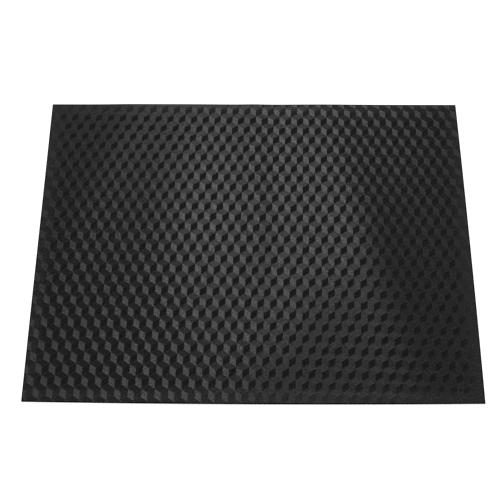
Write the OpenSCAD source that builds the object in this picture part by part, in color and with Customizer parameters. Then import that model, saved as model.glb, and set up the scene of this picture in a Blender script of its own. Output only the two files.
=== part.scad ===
// Door mat: a laminated sheet mat, cut square from a roll.
// Four plies are bonded face to face: a grip backing, a foam core, a woven scrim and an embossed face.
// The origin is the centre of the underside, +X runs along the long side and +Z points up.

/* [Mat] */
// Length of the long side, along X
mat_length = 700; // [300:10:1500]
// Length of the short side, along Y
mat_width = 500; // [200:10:1000]

/* [Plies] */
// Thickness of the grip backing, its studs included
backing_thickness = 0.8; // [0.5:0.1:2]
// Thickness of the foam core
core_thickness = 1.6; // [0.8:0.1:6]
// Thickness of the woven scrim
scrim_thickness = 0.4; // [0.2:0.1:0.8]
// Thickness of the face ply, its embossing included
face_thickness = 1.2; // [1:0.1:3]

/* [Cut edge] */
// Radius to which the knife rolls down the upper edge of the face ply
rim_radius = 0.5; // [0.2:0.1:0.5]

/* [Hidden] */
core_z = backing_thickness;
scrim_z = core_z + core_thickness;
face_z = scrim_z + scrim_thickness;
arc_facets = 48;

// A flat ply of the mat's full outline, from height z upwards.
module ply(z, thickness) {
    translate([-mat_length / 2, -mat_width / 2, z])
        cube([mat_length, mat_width, thickness]);
}

// Section of the face ply across a side of the given length: square below, rolled down at both upper corners.
module rolled_section(side) {
    shoulder = face_thickness - rim_radius;
    translate([-side / 2, 0])
        square([side, shoulder]);
    translate([-side / 2 + rim_radius, 0])
        square([side - 2 * rim_radius, face_thickness]);
    for (end = [-1, 1])
        translate([end * (side / 2 - rim_radius), shoulder])
            circle(r = rim_radius, $fn = arc_facets);
}

// Embossed face ply, black and semi-gloss.
module wear_layer() {
    color("#1c1c1e")
        translate([0, 0, face_z])
            intersection() {
                rotate([90, 0, 0])
                    linear_extrude(height = mat_width, center = true)
                        rolled_section(mat_length);
                rotate([90, 0, 90])
                    linear_extrude(height = mat_length, center = true)
                        rolled_section(mat_width);
            }
}

// Woven reinforcing mesh, bonded under the face.
module scrim() {
    color("#8d8d88")
        ply(scrim_z, scrim_thickness);
}

// Closed-cell cushion.
module foam_core() {
    color("#3a3a3c")
        ply(core_z, core_thickness);
}

// Studded non-slip underside.
module grip_backing() {
    color("#242426")
        ply(0, backing_thickness);
}

wear_layer();
scrim();
foam_core();
grip_backing();
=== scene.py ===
import math
import random

import bmesh
import bpy
from mathutils import Matrix, Vector, noise


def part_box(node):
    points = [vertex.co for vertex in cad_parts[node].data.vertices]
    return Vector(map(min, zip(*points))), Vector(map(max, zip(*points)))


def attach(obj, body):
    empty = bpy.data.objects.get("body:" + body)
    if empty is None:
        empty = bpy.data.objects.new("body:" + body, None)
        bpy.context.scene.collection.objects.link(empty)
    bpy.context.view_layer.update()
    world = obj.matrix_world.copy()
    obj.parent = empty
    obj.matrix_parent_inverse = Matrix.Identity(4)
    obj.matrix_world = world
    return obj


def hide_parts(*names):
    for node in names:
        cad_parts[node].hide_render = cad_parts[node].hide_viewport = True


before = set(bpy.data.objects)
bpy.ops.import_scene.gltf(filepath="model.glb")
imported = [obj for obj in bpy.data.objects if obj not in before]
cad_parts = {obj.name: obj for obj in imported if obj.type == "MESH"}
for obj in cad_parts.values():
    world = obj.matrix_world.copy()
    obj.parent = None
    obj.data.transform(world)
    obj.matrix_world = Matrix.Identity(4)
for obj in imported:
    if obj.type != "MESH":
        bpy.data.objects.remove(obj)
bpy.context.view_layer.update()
MM = 0.001

# ---- Grip backing ---------------------------------------------------------------------------
# The bottom ply: soft black PVC film with blunt studs that grip the floor, cast on a studded belt.
# It is bonded to the foam all over. All four plies are laminated first and then cut together, and
# they lie on the same few shallow ridges, because the mat has come off a roll.
backing_low, backing_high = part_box("grip_backing")
half_length = backing_high.x
half_width = backing_high.y
roll_turn = math.radians(-1.1)
bending_cell = 10 * MM
cut_tolerance = 0.0001 * MM
stud_pitch = 8 * MM
stud_gap = 1.0 * MM
stud_slope = 0.35 * MM
stud_height = 0.35 * MM
front_bow = 2.2 * MM
right_bow = 1.2 * MM
pebble_size = 0.8 * MM
scuff_size = 30 * MM
SIDES = [
    (Vector((1, 0, 0)), half_length),
    (Vector((-1, 0, 0)), half_length),
    (Vector((0, 1, 0)), half_width),
    (Vector((0, -1, 0)), half_width),
]
# Centre X and Y, direction in degrees, length, breadth and height of each ridge, in millimetres.
# Length and breadth are how far from its centre a ridge has fallen to three fifths of its height.
RIDGES = [
    (200, -60, 105, 200, 40, 4),
    (-120, 40, 90, 160, 60, 3),
    (0, 80, 90, 150, 15, 2),
    (-30, -240, 50, 250, 50, 2),
    (-230, 200, 70, 350, 30, 1),
]


def rise(x, y):
    """How far the ridges lift the mat off the floor at a point."""
    height = 0.0
    for centre_x, centre_y, degrees, length, breadth, top in RIDGES:
        turn = math.radians(degrees)
        east, north = x / MM - centre_x, y / MM - centre_y
        along = east * math.cos(turn) + north * math.sin(turn)
        across = north * math.cos(turn) - east * math.sin(turn)
        height += top * MM * math.exp(-((along / length) ** 2 + (across / breadth) ** 2) / 2)
    return height


def lay(bm):
    """Lays a flat ply over the ridges, and bows its front and right edges a little."""
    for vert in bm.verts:
        x, y, z = vert.co
        forward = front_bow * (0.5 - y / half_width / 2) ** 2 * (1 - (x / half_length) ** 2)
        outward = right_bow * (0.5 + x / half_length / 2) ** 2 * (1 - (y / half_width) ** 2)
        vert.co = (x + outward, y - forward, z + rise(x, y))


def all_of(bm):
    """Every corner, edge and face of a mesh."""
    return bm.verts[:] + bm.edges[:] + bm.faces[:]


def with_bounds(faces):
    """These faces with their edges and corners, as the cutting operator wants them."""
    edges = {edge for face in faces for edge in face.edges}
    verts = {vert for face in faces for vert in face.verts}
    return list(verts) + list(edges) + list(faces)


def cut(bm, geometry, normal, distance, trim=False):
    """Cuts the geometry across at a distance from the origin, and trims what lies beyond if asked."""
    return bmesh.ops.bisect_plane(
        bm,
        geom=geometry,
        dist=cut_tolerance,
        plane_co=normal * distance,
        plane_no=normal,
        clear_outer=trim,
    )["geom"]


def sheet_of_quads(width, length, columns, rows):
    """A flat grid of rectangles, centred on the origin."""
    bm = bmesh.new()
    size = Matrix.Diagonal((width / 2, length / 2, 1, 1))
    bmesh.ops.create_grid(bm, x_segments=columns, y_segments=rows, size=1, matrix=size)
    return bm


def cell_cuts(bm, geometry):
    """Cuts the geometry into square cells, so that it can bend."""
    for normal, half in (SIDES[0], SIDES[2]):
        for step in range(1, round(2 * half / bending_cell)):
            geometry = cut(bm, geometry, normal, step * bending_cell - half)


def close_ply(bm, level):
    """Carries the cut edge to another height, and closes it there with a sheet of cells."""
    rim = [edge for edge in bm.edges if edge.is_boundary]
    made = bmesh.ops.extrude_edge_only(bm, edges=rim)["geom"]
    for vert in made:
        if isinstance(vert, bmesh.types.BMVert):
            vert.co.z = level
    rim = [part for part in made if isinstance(part, bmesh.types.BMEdge) and part.is_boundary]
    sheet = bmesh.ops.edgeloop_fill(bm, edges=rim)["faces"]
    cell_cuts(bm, with_bounds(sheet))


def linear(code):
    """A six-digit sRGB hex colour as Blender's linear colour."""
    shares = [int(code[i:i + 2], 16) / 255 for i in (1, 3, 5)]
    return [s / 12.92 if s <= 0.04045 else ((s + 0.055) / 1.055) ** 2.4 for s in shares] + [1]


def put(tree, kind, values={}, links={}, **settings):
    """Adds a node with its settings, the values of its sockets and what feeds the others."""
    made = tree.nodes.new(kind)
    for name, value in settings.items():
        setattr(made, name, value)
    for socket, value in values.items():
        made.inputs[socket].default_value = value
    for socket, source in links.items():
        tree.links.new(source, made.inputs[socket])
    return made


def new_material(name):
    """A named material with an empty tree."""
    material = bpy.data.materials.new(name)
    material.use_nodes = True
    material.node_tree.nodes.clear()
    return material, material.node_tree


def add_piece(name, bm, materials):
    """Turns a finished bmesh into a named object."""
    bmesh.ops.recalc_face_normals(bm, faces=bm.faces)
    mesh = bpy.data.meshes.new(name)
    bm.to_mesh(mesh)
    bm.free()
    for material in materials:
        mesh.materials.append(material)
    piece = bpy.data.objects.new(name, mesh)
    bpy.context.scene.collection.objects.link(piece)
    return piece


# Soft PVC film, cast matt: black, with a fine pebble that scatters what little it reflects, and
# greyer where the belt has scuffed it.
backing_film, tree = new_material("soft_pvc_film_cast_matt")
place = put(tree, "ShaderNodeTexCoord").outputs["Object"]
pebble = put(tree, "ShaderNodeTexNoise", {"Scale": 1 / pebble_size, "Detail": 2}, {"Vector": place})
pebble_bump = put(tree, "ShaderNodeBump", {"Distance": 0.04 * MM}, {"Height": pebble.outputs["Fac"]})
scuffs = put(tree, "ShaderNodeTexNoise", {"Scale": 1 / scuff_size, "Detail": 4}, {"Vector": place})
film_colour = put(
    tree,
    "ShaderNodeMixRGB",
    {"Color1": linear("#161617"), "Color2": linear("#2a2a2b")},
    {"Fac": scuffs.outputs["Fac"]},
)
shader = put(
    tree,
    "ShaderNodeBsdfPrincipled",
    {"Roughness": 0.7, "Specular IOR Level": 0.4},
    {"Base Color": film_colour.outputs["Color"], "Normal": pebble_bump.outputs["Normal"]},
)
put(tree, "ShaderNodeOutputMaterial", {}, {"Surface": shader.outputs["BSDF"]})

spare = 60 * MM
columns = round((2 * half_length + spare) / stud_pitch)
rows = round((2 * half_width + spare) / stud_pitch)
backing = sheet_of_quads(columns * stud_pitch, rows * stud_pitch, columns, rows)
cells = backing.faces[:]
bmesh.ops.inset_individual(backing, faces=cells, thickness=stud_gap, depth=0)
bmesh.ops.inset_individual(backing, faces=cells, thickness=stud_slope, depth=-stud_height)
bmesh.ops.rotate(backing, verts=backing.verts, matrix=Matrix.Rotation(roll_turn, 3, "Z"))
bmesh.ops.translate(backing, verts=backing.verts, vec=(0, 0, backing_low.z + stud_height))
for normal, half in SIDES:
    cut(backing, all_of(backing), normal, half, trim=True)
close_ply(backing, backing_high.z)
lay(backing)
grip_backing = add_piece("grip_backing_studded", backing, [backing_film])
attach(grip_backing, "root")
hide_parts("grip_backing")

# ---- Foam core ------------------------------------------------------------------------------
# The cushion: closed-cell PVC foam, charcoal, blown as a sheet and bonded hot to the backing.
# The knife leaves its cells open round the edge of the mat, so the edge is rough and sits back a
# little. Its top has risen into the windows of the scrim.
core_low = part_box("foam_core")[0]
scrim_low, scrim_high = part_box("scrim")
bond_height = (scrim_low.z + scrim_high.z) / 2
edge_cell = 0.9 * MM
edge_rows = 3
open_cell_depth = 0.35 * MM
open_cell_spread = 1.1 * MM
foam_cell = 0.5 * MM
hairline = 0.001 * MM

# Closed-cell PVC foam, sliced by the knife: dull charcoal with open cells of half a millimetre.
cut_foam, tree = new_material("pvc_foam_closed_cell")
place = put(tree, "ShaderNodeTexCoord").outputs["Object"]
cells = put(tree, "ShaderNodeTexVoronoi", {"Scale": 1 / foam_cell}, {"Vector": place})
cell_bump = put(tree, "ShaderNodeBump", {"Distance": 0.15 * MM}, {"Height": cells.outputs["Distance"]})
foam_colour = put(
    tree,
    "ShaderNodeMixRGB",
    {"Color1": linear("#0e0e0f"), "Color2": linear("#232325")},
    {"Fac": cells.outputs["Distance"]},
)
shader = put(
    tree,
    "ShaderNodeBsdfPrincipled",
    {"Roughness": 0.9, "Specular IOR Level": 0.3},
    {"Base Color": foam_colour.outputs["Color"], "Normal": cell_bump.outputs["Normal"]},
)
put(tree, "ShaderNodeOutputMaterial", {}, {"Surface": shader.outputs["BSDF"]})

core = sheet_of_quads(2 * half_length, 2 * half_width, 1, 1)
bmesh.ops.delete(core, geom=core.faces[:], context="FACES_ONLY")
for half, axis in ((half_length, 0), (half_width, 1)):
    sides = [e for e in core.edges if abs(e.verts[0].co[axis] - e.verts[1].co[axis]) > half]
    bmesh.ops.subdivide_edges(core, edges=sides, cuts=round(2 * half / edge_cell) - 1)
bmesh.ops.translate(core, verts=core.verts, vec=(0, 0, core_low.z))
lower_rim = core.edges[:]
rim = lower_rim
for row in range(1, edge_rows + 1):
    made = bmesh.ops.extrude_edge_only(core, edges=rim)["geom"]
    upper = {part for part in made if isinstance(part, bmesh.types.BMVert)}
    for vert in upper:
        vert.co.z = core_low.z + (bond_height - core_low.z) * row / edge_rows
    rim = [p for p in made if isinstance(p, bmesh.types.BMEdge) and set(p.verts) <= upper]
bmesh.ops.edgeloop_fill(core, edges=rim)
bmesh.ops.edgeloop_fill(core, edges=lower_rim)
for vert in core.verts:
    sunk = open_cell_depth * (0.5 + 0.5 * noise.noise(vert.co / open_cell_spread))
    for normal, half in SIDES:
        if vert.co.dot(normal) > half - hairline:
            vert.co -= normal * sunk
cell_cuts(core, all_of(core))
lay(core)
foam_core = add_piece("foam_core_sheet", core, [cut_foam])
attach(foam_core, "root")
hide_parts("foam_core")

# ---- Scrim ----------------------------------------------------------------------------------
# The reinforcing cloth: flat rovings of polyester in a plain open weave. It keeps the mat square.
# Foam and face meet in the windows of the weave and lock it in, and the knife leaves the ends of
# the rovings standing just proud of the cut edge.
roving_width = 2.6 * MM
roving_thickness = 0.18 * MM
weave_lift = 0.1 * MM
warp_count = 70
weft_count = 98
roving_pitch = 2 * half_width / warp_count
proud_end = 0.15 * MM
filament_length = 12 * MM
filament_width = 0.12 * MM
fray = random.Random(4)

# Untwisted polyester roving, dyed as it is spun: charcoal filaments side by side, with a dry
# silky sheen.
roving_yarn, tree = new_material("polyester_roving_flat")
along = put(tree, "ShaderNodeUVMap", uv_map="yarn")
drawn = put(
    tree,
    "ShaderNodeMapping",
    {"Scale": (1 / filament_length, 1 / filament_width, 1)},
    {"Vector": along.outputs["UV"]},
)
filaments = put(tree, "ShaderNodeTexNoise", {"Scale": 1, "Detail": 3}, {"Vector": drawn.outputs["Vector"]})
filament_bump = put(tree, "ShaderNodeBump", {"Distance": 0.03 * MM}, {"Height": filaments.outputs["Fac"]})
yarn_colour = put(
    tree,
    "ShaderNodeMixRGB",
    {"Color1": linear("#232322"), "Color2": linear("#4c4b48")},
    {"Fac": filaments.outputs["Fac"]},
)
shader = put(
    tree,
    "ShaderNodeBsdfPrincipled",
    {"Roughness": 0.5, "Sheen Weight": 0.2},
    {"Base Color": yarn_colour.outputs["Color"], "Normal": filament_bump.outputs["Normal"]},
)
put(tree, "ShaderNodeOutputMaterial", {}, {"Surface": shader.outputs["BSDF"]})


def set_uv(bm, name, first, second):
    """Lays a map over the mesh in metres, along these two directions."""
    layer = bm.loops.layers.uv.new(name)
    for face in bm.faces:
        for loop in face.loops:
            loop[layer].uv = (loop.vert.co.dot(first), loop.vert.co.dot(second))


def repeat(bm, count, step):
    """Copies everything so far, until there are count of it, each where step puts it."""
    original = all_of(bm)
    for place in range(1, count):
        copy = bmesh.ops.duplicate(bm, geom=original)["geom"]
        verts = [part for part in copy if isinstance(part, bmesh.types.BMVert)]
        bmesh.ops.translate(bm, verts=verts, vec=step(place))


def join(bm, part):
    """Adds a finished small mesh to a larger one."""
    mesh = bpy.data.meshes.new("part")
    part.to_mesh(mesh)
    part.free()
    bm.from_mesh(mesh)
    bpy.data.meshes.remove(mesh)


def alternate_rovings(count, crossings, half, first):
    """Every other roving of one direction, so that all of these wave over and under in step."""
    bm = sheet_of_quads((crossings + 1) * roving_pitch, roving_width, crossings + 1, 1)
    made = bmesh.ops.extrude_face_region(bm, geom=bm.faces[:], use_keep_orig=True)["geom"]
    top = [part for part in made if isinstance(part, bmesh.types.BMVert)]
    bmesh.ops.translate(bm, verts=top, vec=(0, 0, roving_thickness))
    for vert in bm.verts:
        crossing = round(vert.co.x / roving_pitch + (crossings + 1) / 2)
        over = 1 if (crossing + first) % 2 else -1
        vert.co.z += over * weave_lift - roving_thickness / 2
    set_uv(bm, "yarn", Vector((1, 0, 0)), Vector((0, 1, 0)))
    start = (first - (count - 1) / 2) * roving_pitch
    bmesh.ops.translate(bm, verts=bm.verts, vec=(0, start, bond_height))
    repeat(bm, count // 2, lambda place: (0, place * 2 * roving_pitch, 0))
    for vert in bm.verts:
        if abs(vert.co.x) > half:
            vert.co.x = math.copysign(half + proud_end * fray.uniform(0.2, 1), vert.co.x)
    return bm


weave = bmesh.new()
for first in (0, 1):
    join(weave, alternate_rovings(warp_count, weft_count, half_length, first))
for first in (0, 1):
    wefts = alternate_rovings(weft_count, warp_count, half_width, first)
    bmesh.ops.rotate(wefts, verts=wefts.verts, matrix=Matrix.Rotation(math.radians(90), 3, "Z"))
    join(weave, wefts)
lay(weave)
scrim = add_piece("scrim_woven", weave, [roving_yarn])
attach(scrim, "root")
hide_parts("scrim")

# ---- Wear layer -----------------------------------------------------------------------------
# The face that is trodden on: black flexible vinyl, run hot between an engraved steel roll and a
# rubber one. The roll leaves rhombuses that read as cubes. The three of a cube have fine grooves
# a third of a turn apart and a finish each, a raised line parts them, and the knife rolls the rim.
face_low, face_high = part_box("wear_layer")
cube_pitch = 20.4 * MM
cube_edge = cube_pitch / math.sqrt(3)
row_pitch = cube_edge * 1.5
facet_height = cube_pitch / 2
half_line = 0.5 * MM
line_crest = 0.07 * MM
groove_count = 6
first_cube = Vector((6.6 * MM - half_length, half_width - 2.8 * MM, 0))
spare_cubes = 2
rim_drop = 0.8 * MM
rim_width = 2.0 * MM
rim_steps = (0.4 * MM, 1.0 * MM, rim_width)
lighter_border_width = 30 * MM
weld_gap = 0.002 * MM
speck_spacing = 26 * MM
# Share of the places that stay free of a speck, and a speck's radius as a share of the spacing.
speck_free = 0.84
speck_reach = 0.02
grain_size = 1.3 * MM
# The grain is at its darkest at the upper value and at its lightest at the lower one.
grain_range = {"From Min": 0.3, "From Max": 0.7}
LINE, RIM = 3, 4
# Turn of each rhombus of a cube in degrees, depth of its grooves and its finish: top, left, right.
FACETS = [(0, 0.06 * MM, 0), (120, 0.06 * MM, 1), (240, 0.12 * MM, 2)]
# Name, reflection, roughness, how far the grain stretches the shine, colour, colour at the border.
FINISHES = [
    ("vinyl_hatched_satin", 0.22, 0.35, 0.78, "#222222", "#2a2a2a"),
    ("vinyl_hatched_bright", 0.49, 0.38, 0.72, "#222222", "#2a2a2a"),
    ("vinyl_hatched_dull", 0.02, 0.75, 0.00, "#262626", "#3a3a3a"),
    # The raised line is real; its grey, lighter than the facets, is painted sheen.
    ("vinyl_raised_line", 0.14, 0.50, 0.00, "#363636", "#363636"),
    # The rim's near-black is painted shade: it draws a dark outline along the rolled rim and the cut wall.
    ("vinyl_rim_painted_shade", 0.03, 0.60, 0.00, "#060606", "#060606"),
]

face_materials = []
for name, reflection, roughness, stretch, colour, border_colour in FINISHES:
    # Plasticised PVC as it leaves a hot roll: deep black with a greasy shine. Its engraving is
    # finer than the grooves drawn here, and stretches the shine across them. A grain of a little
    # over a millimetre, a lighter grey towards the border and specks of dust break it up.
    material, tree = new_material(name)
    place = put(tree, "ShaderNodeTexCoord").outputs["Object"]
    grain = put(tree, "ShaderNodeTexNoise", {"Scale": 1 / grain_size, "Detail": 1}, {"Vector": place})
    bump = put(tree, "ShaderNodeBump", {"Distance": 0.08 * MM}, {"Height": grain.outputs["Fac"]})
    shine = put(
        tree,
        "ShaderNodeMapRange",
        {**grain_range, "To Min": roughness * 0.9, "To Max": roughness * 1.1},
        {"Value": grain.outputs["Fac"]},
    )
    shade = put(
        tree,
        "ShaderNodeMapRange",
        {**grain_range, "To Min": 1.6, "To Max": 0.4},
        {"Value": grain.outputs["Fac"]},
    )
    parts = put(tree, "ShaderNodeSeparateXYZ", {}, {"Vector": place})
    insets = []
    for axis, half in (("X", half_length), ("Y", half_width)):
        off = put(tree, "ShaderNodeMath", {}, {0: parts.outputs[axis]}, operation="ABSOLUTE")
        inset = put(tree, "ShaderNodeMath", {0: half}, {1: off.outputs[0]}, operation="SUBTRACT")
        insets.append(inset.outputs[0])
    inside = put(tree, "ShaderNodeMath", {}, {0: insets[0], 1: insets[1]}, operation="MINIMUM")
    # The facets turn a lighter grey towards the border of the mat.
    border_lightening = put(
        tree,
        "ShaderNodeMapRange",
        {"From Min": rim_width, "From Max": lighter_border_width, "To Min": 1, "To Max": 0},
        {"Value": inside.outputs[0]},
        interpolation_type="SMOOTHSTEP",
    )
    vinyl = put(
        tree,
        "ShaderNodeMixRGB",
        {"Color1": linear(colour), "Color2": linear(border_colour)},
        {"Fac": border_lightening.outputs["Result"]},
    )
    grained = put(
        tree,
        "ShaderNodeMixRGB",
        {"Fac": 1},
        {"Color1": vinyl.outputs["Color"], "Color2": shade.outputs["Result"]},
        blend_type="MULTIPLY",
    )
    dots = put(tree, "ShaderNodeTexVoronoi", {"Scale": 1 / speck_spacing}, {"Vector": place})
    chance = put(tree, "ShaderNodeSeparateColor", {}, {"Color": dots.outputs["Color"]})
    chosen = put(
        tree,
        "ShaderNodeMath",
        {1: speck_free},
        {0: chance.outputs["Red"]},
        operation="GREATER_THAN",
    )
    near = put(
        tree,
        "ShaderNodeMath",
        {1: speck_reach},
        {0: dots.outputs["Distance"]},
        operation="LESS_THAN",
    )
    speck = put(tree, "ShaderNodeMath", {}, {0: chosen.outputs[0], 1: near.outputs[0]}, operation="MULTIPLY")
    dusted = put(
        tree,
        "ShaderNodeMixRGB",
        {"Color2": linear("#c8c6c0")},
        {"Fac": speck.outputs[0], "Color1": grained.outputs["Color"]},
    )
    feeds = {
        "Base Color": dusted.outputs["Color"],
        "Specular Tint": shade.outputs["Result"],
        "Roughness": shine.outputs["Result"],
        "Normal": bump.outputs["Normal"],
    }
    if stretch:
        across = put(tree, "ShaderNodeTangent", direction_type="UV_MAP", uv_map="grain")
        feeds["Tangent"] = across.outputs["Tangent"]
    shader = put(
        tree,
        "ShaderNodeBsdfPrincipled",
        {"Specular IOR Level": reflection, "Anisotropic": stretch},
        feeds,
    )
    put(tree, "ShaderNodeOutputMaterial", {}, {"Surface": shader.outputs["BSDF"]})
    face_materials.append(material)


def hatched_facet(turn, groove_depth, finish):
    """A rhombus with a corner at the origin, grooved along its edge at 30 degrees, then turned."""
    run = Vector((math.cos(math.radians(30)), math.sin(math.radians(30)), 0))
    to_end = Vector((run.y, run.x, 0))
    to_side = Vector((-run.y, run.x, 0))
    bm = bmesh.new()
    skew = Matrix(((run.x, -run.x, 0, 0), (run.y, run.y, 0, 0), (0, 0, 1, 0), (0, 0, 0, 1)))
    skew = skew @ Matrix.Translation((cube_edge / 2, cube_edge / 2, 0))
    bmesh.ops.create_grid(bm, x_segments=1, y_segments=1, size=cube_edge / 2, matrix=skew)
    lines = (half_line, facet_height - half_line)

    def is_end(edge):
        return abs((edge.verts[0].co - edge.verts[1].co).dot(to_end)) < hairline

    def hatched():
        return [f for f in bm.faces if lines[0] < f.calc_center_median().dot(to_end) < lines[1]]

    for distance in lines:
        cut(bm, all_of(bm), to_end, distance)
    for distance in lines:
        ends = [edge for edge in bm.edges if edge.is_boundary and is_end(edge)]
        cut(bm, ends + list({vert for edge in ends for vert in edge.verts}), to_side, distance)
    for groove in range(1, groove_count):
        cut(bm, with_bounds(hatched()), to_side, facet_height * groove / groove_count)
    for vert in bm.verts:
        if vert.is_boundary:
            vert.co.z = line_crest
    grooves = hatched()
    # Lines take the lighter grey finish, painted sheen on the raised line.
    for face in bm.faces:
        face.material_index = LINE
    for face in grooves:
        face.material_index = finish
    pressed = bmesh.ops.extrude_discrete_faces(bm, faces=grooves)["faces"]
    for face in pressed:
        for vert in face.verts:
            vert.co.z = -groove_depth
    short = [edge for face in pressed for edge in face.edges if is_end(edge)]
    bmesh.ops.collapse(bm, edges=short)
    set_uv(bm, "grain", to_side, run)
    bmesh.ops.rotate(bm, verts=bm.verts, matrix=Matrix.Rotation(math.radians(turn), 3, "Z"))
    return bm


def drift(vert):
    """The web stretches unevenly as it leaves the roll, so the pattern wanders by up to 5 mm."""
    u, v = vert.co.x / half_length, vert.co.y / half_width
    to_right = v - 3 * (u - u ** 3) - 1.5 * u ** 2
    to_back = 3 * v * (u ** 2 - 0.5) - 1.5 * v ** 2 - u ** 2
    vert.co += Vector((to_right, to_back, 0)) * MM


face = bmesh.new()
for facet in FACETS:
    join(face, hatched_facet(*facet))
columns = math.ceil(2 * half_length / cube_pitch) + 2 * spare_cubes
rows = math.ceil(2 * half_width / row_pitch) + 2 * spare_cubes
repeat(face, columns, lambda place: (place * cube_pitch, 0, 0))
repeat(face, rows, lambda place: (place % 2 * cube_pitch / 2, -place * row_pitch, 0))
bmesh.ops.translate(face, verts=face.verts, vec=(-spare_cubes * cube_pitch, spare_cubes * row_pitch, 0))
bmesh.ops.remove_doubles(face, verts=face.verts, dist=weld_gap)
bmesh.ops.rotate(face, verts=face.verts, matrix=Matrix.Rotation(roll_turn, 3, "Z"))
bmesh.ops.translate(face, verts=face.verts, vec=first_cube)
for vert in face.verts:
    drift(vert)
for normal, half in SIDES:
    cut(face, all_of(face), normal, half, trim=True)
for normal, half in SIDES:
    border = [f for f in face.faces if f.calc_center_median().dot(normal) > half - cube_edge]
    border = with_bounds(border)
    for inset in rim_steps:
        border = cut(face, border, normal, half - inset)
for vert in face.verts:
    inside = max(min(half_length - abs(vert.co.x), half_width - abs(vert.co.y)), 0)
    kept = min(inside / rim_width, 1)
    vert.co.z = face_high.z - line_crest + vert.co.z * kept - rim_drop * (1 - kept) ** 2
# The rolled rim takes the near-black finish, painted shade that outlines the mat.
for part in face.faces:
    middle = part.calc_center_median()
    if min(half_length - abs(middle.x), half_width - abs(middle.y)) < rim_width:
        part.material_index = RIM
close_ply(face, bond_height)
# The cut wall takes the same near-black painted shade.
for part in face.faces:
    if part.calc_center_median().z < face_low.z:
        part.material_index = RIM
lay(face)
wear_layer = add_piece("wear_layer_embossed", face, face_materials)
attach(wear_layer, "root")
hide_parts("wear_layer")

# ---- Camera, floor and light ----------------------------------------------------------------
# A camera above the front edge, a white studio floor, and one large soft box high behind the mat.
camera_place = Vector((-0.6, -243.4, 872.2)) * MM
camera_aim = Vector((-5.3, -10.8, 0)) * MM
camera_roll = math.radians(-0.94)
camera_data = bpy.data.cameras.new("camera")
camera_data.lens = 40.05
camera_data.sensor_width = 36
camera = bpy.data.objects.new("camera", camera_data)
bpy.context.scene.collection.objects.link(camera)
looking = (camera_aim - camera_place).to_track_quat("-Z", "Y").to_matrix().to_4x4()
camera.matrix_world = Matrix.Translation(camera_place) @ looking @ Matrix.Rotation(camera_roll, 4, "Z")
bpy.context.scene.camera = camera

floor_size = 30
floor_sheet = sheet_of_quads(floor_size, floor_size, 1, 1)
floor_paint, tree = new_material("white_floor")
shader = put(
    tree,
    "ShaderNodeBsdfPrincipled",
    {
        "Base Color": linear("#f2f2f2"),
        "Roughness": 0.9,
        "Emission Color": linear("#ffffff"),
        "Emission Strength": 0.8,
    },
)
put(tree, "ShaderNodeOutputMaterial", {}, {"Surface": shader.outputs["BSDF"]})
floor = add_piece("floor", floor_sheet, [floor_paint])

light_place = Vector((-0.05, 1.62, 4.3))
light_data = bpy.data.lights.new("soft_box", "AREA")
light_data.shape = "SQUARE"
light_data.size = 2.0
light_data.energy = 77
soft_box = bpy.data.objects.new("soft_box", light_data)
bpy.context.scene.collection.objects.link(soft_box)
facing = (-light_place).to_track_quat("-Z", "Y").to_matrix().to_4x4()
soft_box.matrix_world = Matrix.Translation(light_place) @ facing

# The room is dim where it lights the mat, and white where the camera looks past it.
world = bpy.data.worlds.new("studio")
bpy.context.scene.world = world
world.use_nodes = True
tree = world.node_tree
tree.nodes.clear()
seen = put(tree, "ShaderNodeLightPath").outputs["Is Camera Ray"]
strength = put(tree, "ShaderNodeMapRange", {"To Min": 0.24, "To Max": 1.0}, {"Value": seen})
sky = put(
    tree,
    "ShaderNodeBackground",
    {"Color": linear("#ffffff")},
    {"Strength": strength.outputs["Result"]},
)
put(tree, "ShaderNodeOutputWorld", {}, {"Surface": sky.outputs["Background"]})
bpy.context.scene.view_settings.view_transform = "Standard"
